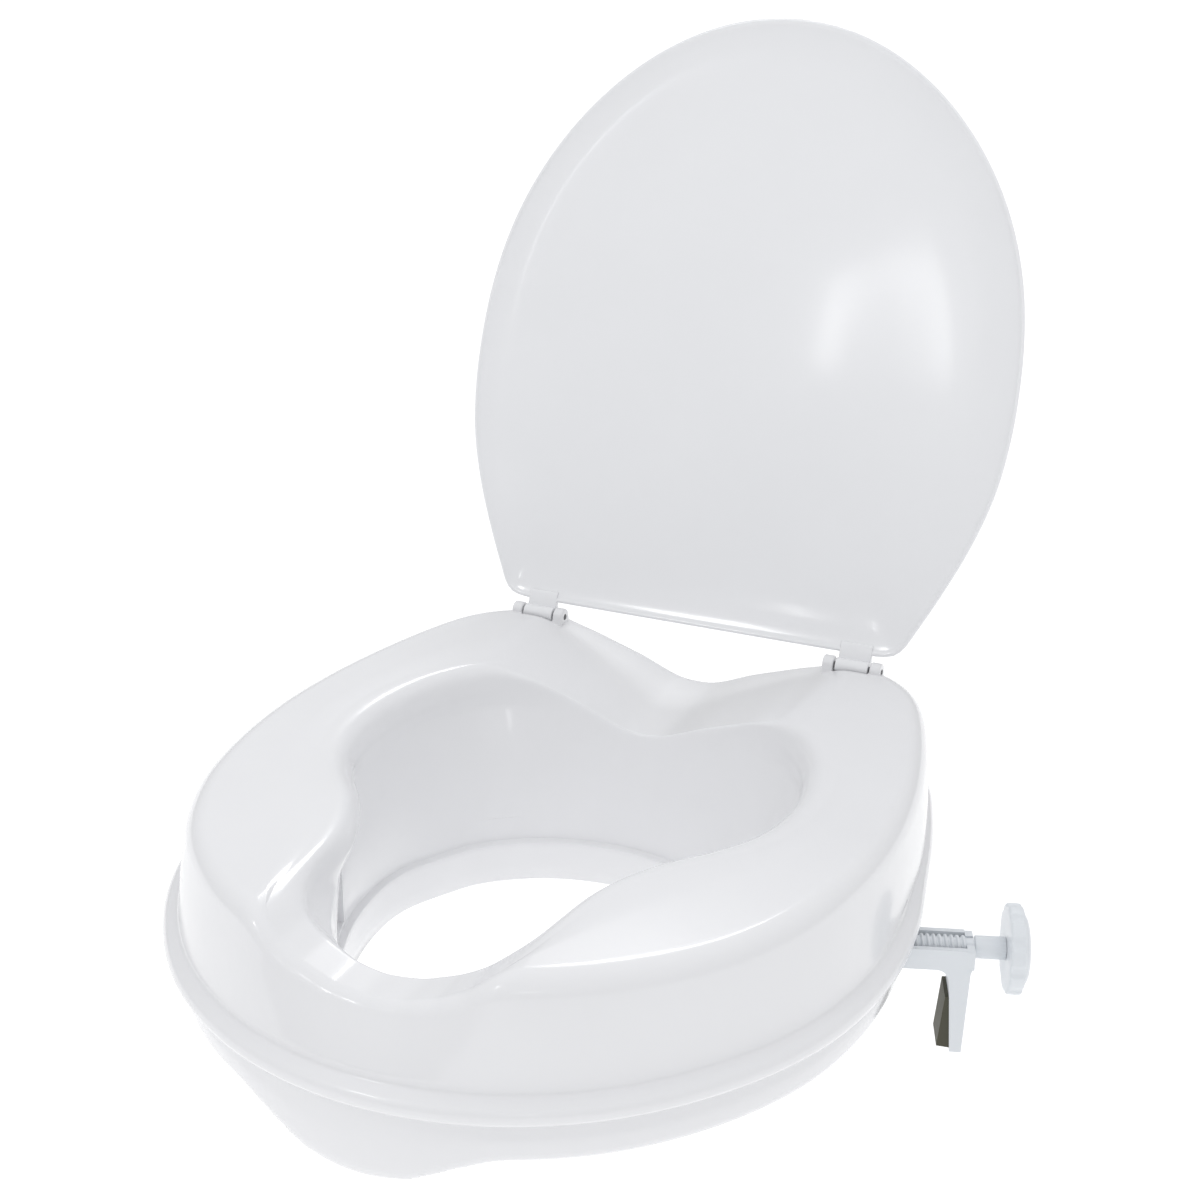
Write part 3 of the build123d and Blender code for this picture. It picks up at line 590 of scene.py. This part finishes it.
lid_rings = []
under_prof = curve_through([(178, 7.95), (130, 7.9), (80, 7.75), (50, 6.95), (34, 6.1), (20, 5.0), (12, 3.85), (6, 2.65), (3.0, 1.75),
                            (1.6, 1.1), (0.7, 1.15), (0.15, 1.8), (0.2, 2.7), (1.0, 3.8), (3.0, 4.9),
                            (7, 6.2), (12, 7.3), (20, 8.4), (30, 9.3), (50, 10.0), (75, 10.5), (120, 10.75), (178, 10.8)], 4)
lv = []
for d, w in under_prof:
    k = 1 - d / 178.0
    if k < 0.004:
        k = 0.004
    x = lr * k * np.sin(la)
    s = 190.0 - lr * k * np.cos(la)
    lv.append(np.array([lid_point(a, b, w) for a, b in zip(x, s)]))
n_r = len(lv)
lv = np.vstack(lv)
lf = grid_faces(n_r, NL)
lv = np.vstack([lv, lid_point(0, 190, 7.95), lid_point(0, 190, 10.8)])
ci, co = len(lv) - 2, len(lv) - 1
for j in range(NL):
    lf.append((ci, (j + 1) % NL, j))
    lf.append((co, (n_r - 1) * NL + j, (n_r - 1) * NL + (j + 1) % NL))
parts = [(lv, lf)]
lid = make_object("lid_panel", lv, lf, LIDM, "lid", sharp=50, replace=("lid",))
fix_normals(lid)
# knuckles with the webs that join them to the lid
parts = []
for sx in (-1, 1):
    arc = [(4.8 * math.cos(q), 4.8 * math.sin(q)) for q in np.linspace(0, 2 * math.pi, 48, endpoint=False)]
    parts.append(prism(arc, lambda u, v, d: np.array([d, HY + u, HZ + v]), sx * 92.7, sx * 112.3))
    web = [(2.0, 1.0), (13, 1.0), (14.5, 1.8), (14.5, 4.0), (13, 4.6), (2.0, 4.6)]
    parts.append(prism(web, lambda s, w, d: lid_point(d, s, w), sx * 92.8, sx * 112.2))
kv, kf = join_meshes(parts)
knuckles = make_object("lid_knuckles", kv, kf, LIDM, "lid", sharp=40)
fix_normals(knuckles)
bevel(knuckles, 0.45, 2, 50)

# ------------------------------------------------------------------ clamps
for side, tag in ((1, "right"), (-1, "left")):
    u3, t3 = direction(side)
    ax0 = np.array([0, CY, SCREW_Z])
    up = np.array([0, 0, 1.0])
    # threaded screw
    PITCH, S0, S1 = 3.0, 137.0, 219.7
    nphi = 44
    ss = np.arange(S0, S1 + 1e-6, 0.2)
    phi = np.arange(nphi) * 2 * math.pi / nphi
    hand = 1.0 if side > 0 else 1.0
    vv = []
    for s in ss:
        ph = np.mod((s - S0) / PITCH - hand * phi / (2 * math.pi), 1.0)
        tri = np.abs(ph - 0.5) * 2                       # 1 at the crest
        h = np.clip((tri - 0.22) / 0.5, 0, 1)
        h = h * h * (3 - 2 * h)
        end = min(1.0, (s - S0) / 1.8)
        r = (4.25 + 1.2 * h) * (0.86 + 0.14 * end)
        vv.append(ax0 + u3 * s + np.outer(np.cos(phi) * r, t3) + np.outer(np.sin(phi) * r, up))
    prof_s = [(219.8, 4.9), (219.9, 4.2), (222, 4.2), (224.1, 4.2), (224.3, 5.2), (224.7, 5.8), (232, 5.9), (239.6, 5.9), (240.0, 5.6)]
    for s, r in prof_s:
        vv.append(ax0 + u3 * s + np.outer(np.cos(phi) * r, t3) + np.outer(np.sin(phi) * r, up))
    nr = len(vv)
    vv = np.vstack(vv)
    ff = grid_faces(nr, nphi)
    vv = np.vstack([vv, ax0 + u3 * (S0 - 0.2), ax0 + u3 * 240.0])
    for j in range(nphi):
        ff.append((len(vv) - 2, (j + 1) % nphi, j))
        ff.append((len(vv) - 1, (nr - 1) * nphi + j, (nr - 1) * nphi + (j + 1) % nphi))
    scr = make_object(f"screw_{tag}", vv, ff, THREAD, f"screw_{tag}", sharp=45, replace=(f"clamp_screw_{tag}",))
    fix_normals(scr)
    # knob with a scalloped rim and a domed face
    nphi = 240
    phi = np.arange(nphi) * 2 * math.pi / nphi
    scal = 0.5 + 0.5 * np.cos(phi * 10 + 0.3)
    scal = np.clip((scal - 0.45) / 0.55, 0, 1)
    scal = scal * scal * (3 - 2 * scal)
    prof_k = curve_through([(0.2, 5.0), (0.0, 8.0), (0.0, 21.2), (0.25, 22.3), (1.0, 22.9), (2.0, 23.0), (6.0, 23.0), (7.1, 22.8),
                            (7.75, 22.1), (8.0, 21.0), (8.05, 19.4), (8.3, 18.6), (9.2, 17.9), (10.3, 16.0), (11.1, 12.5), (11.6, 8.0), (11.78, 0.3)], 4)
    vv = []
    for ds, r in prof_k:
        edge = np.clip((r - 19.5) / 3.0, 0, 1)
        rr = r - 1.25 * scal * edge
        vv.append(ax0 + u3 * (240.0 + ds) + np.outer(np.cos(phi) * rr, t3) + np.outer(np.sin(phi) * rr, up))
    nr = len(vv)
    vv = np.vstack(vv)
    ff = grid_faces(nr, nphi)
    vv = np.vstack([vv, ax0 + u3 * 240.2, ax0 + u3 * 251.8])
    for j in range(nphi):
        ff.append((len(vv) - 2, (j + 1) % nphi, j))
        ff.append((len(vv) - 1, (nr - 1) * nphi + j, (nr - 1) * nphi + (j + 1) % nphi))
    knob = make_object(f"knob_{tag}", vv, ff, CLAMP, f"screw_{tag}", sharp=40, replace=(f"clamp_knob_{tag}",))
    fix_normals(knob)

# CAD nodes that stay: finished with their own materials and softened edges
keep = {"clamp_arm": (CLAMP, 0.7), "clamp_pad": (RUBBER, 0.9), "clamp_nut": (NUT, 0.4), "guide_strap": (CLAMP, 0.5),
        "strap_screws": (STEEL, 0.2), "hinge_pin": (PIN, 0.0), "rest_pad": (RUBBER, 0.7)}
for name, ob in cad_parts.items():
    for k, (mat, bw) in keep.items():
        if name.startswith(k):
            ob.data.materials.clear()
            ob.data.materials.append(mat)
            if bw:
                bevel(ob, bw, 2, 35)

# ------------------------------------------------------------------ floor, light, camera
floor_z = -0.45
S = 90.0
fm = bpy.data.meshes.new("floor")
nf = 24
fx = np.linspace(-S, S, nf)
fm.from_pydata([(float(a), float(b), floor_z) for b in fx for a in fx], [], grid_faces(nf, nf, close_cols=False))
floor = bpy.data.objects.new("floor", fm)
bpy.context.scene.collection.objects.link(floor)
fmat = bpy.data.materials.new("floor_pale")
fmat.use_nodes = True
fb = fmat.node_tree.nodes["Principled BSDF"]
fn = fmat.node_tree.nodes.new("ShaderNodeTexNoise")
fn.inputs["Scale"].default_value = 3.0
fr = fmat.node_tree.nodes.new("ShaderNodeMix")
fr.data_type = "RGBA"
fr.inputs["A"].default_value = (0.80, 0.80, 0.80, 1)
fr.inputs["B"].default_value = (0.82, 0.82, 0.82, 1)
fmat.node_tree.links.new(fn.outputs["Fac"], fr.inputs["Factor"])
fmat.node_tree.links.new(fr.outputs["Result"], fb.inputs["Base Color"])
fb.inputs["Roughness"].default_value = 0.9
fb.inputs["Emission Color"].default_value = (1, 1, 1, 1)
fb.inputs["Emission Strength"].default_value = 0.34
fb.inputs["Specular IOR Level"].default_value = 0.1
fm.materials.append(fmat)

world = bpy.data.worlds.new("studio")
bpy.context.scene.world = world
world.use_nodes = True
bg = world.node_tree.nodes["Background"]
wt = world.node_tree.nodes.new("ShaderNodeTexCoord")
ws = world.node_tree.nodes.new("ShaderNodeSeparateXYZ")
wr = world.node_tree.nodes.new("ShaderNodeMapRange")
wr.inputs["From Min"].default_value = -0.1
wr.inputs["From Max"].default_value = 0.95
wr.inputs["To Min"].default_value = 0.38
wr.inputs["To Max"].default_value = 1.15
world.node_tree.links.new(wt.outputs["Generated"], ws.inputs["Vector"])
world.node_tree.links.new(ws.outputs["Z"], wr.inputs["Value"])
world.node_tree.links.new(wr.outputs["Result"], bg.inputs["Strength"])
bg.inputs["Color"].default_value = (0.985, 0.99, 1.0, 1)


def area(name, loc, target, size, power, size_y=None, color=(1, 1, 1)):
    d = bpy.data.lights.new(name, "AREA")
    d.energy = power
    d.color = color
    d.size = size
    if size_y:
        d.shape = "RECTANGLE"
        d.size_y = size_y
    o = bpy.data.objects.new(name, d)
    o.location = loc
    o.rotation_euler = (Vector(target) - Vector(loc)).to_track_quat("-Z", "Y").to_euler()
    bpy.context.scene.collection.objects.link(o)
    return o


area("key", (-0.9, -1.6, 2.0), (0, 0, 0.1), 0.30, 2.6, 0.30)
area("strip", (-0.79, -2.29, 1.64), (0.06, 0.24, 0.28), 0.05, 0.22, 0.22)
area("fill", (1.1, -2.4, 1.3), (0, 0, 0.1), 0.22, 0.45, 0.22)
area("top", (-0.5, 1.7, 1.7), (0, 0, 0.1), 0.7, 4.5, 0.35)

cam_d = bpy.data.cameras.new("camera")
cam = bpy.data.objects.new("camera", cam_d)
bpy.context.scene.collection.objects.link(cam)
cam_d.sensor_fit = "HORIZONTAL"
cam_d.sensor_width = 36.0
cam_d.lens = 50.67
cam.location = (0.3475, -0.7140, 0.4948)
back = Vector((0.3893, -0.8444, 0.3680)).normalized()
cam.rotation_euler = back.to_track_quat("Z", "Y").to_euler()
cam_d.clip_end = 100
bpy.context.scene.camera = cam
bpy.context.scene.view_settings.view_transform = "Standard"
bpy.context.scene.view_settings.look = "None"
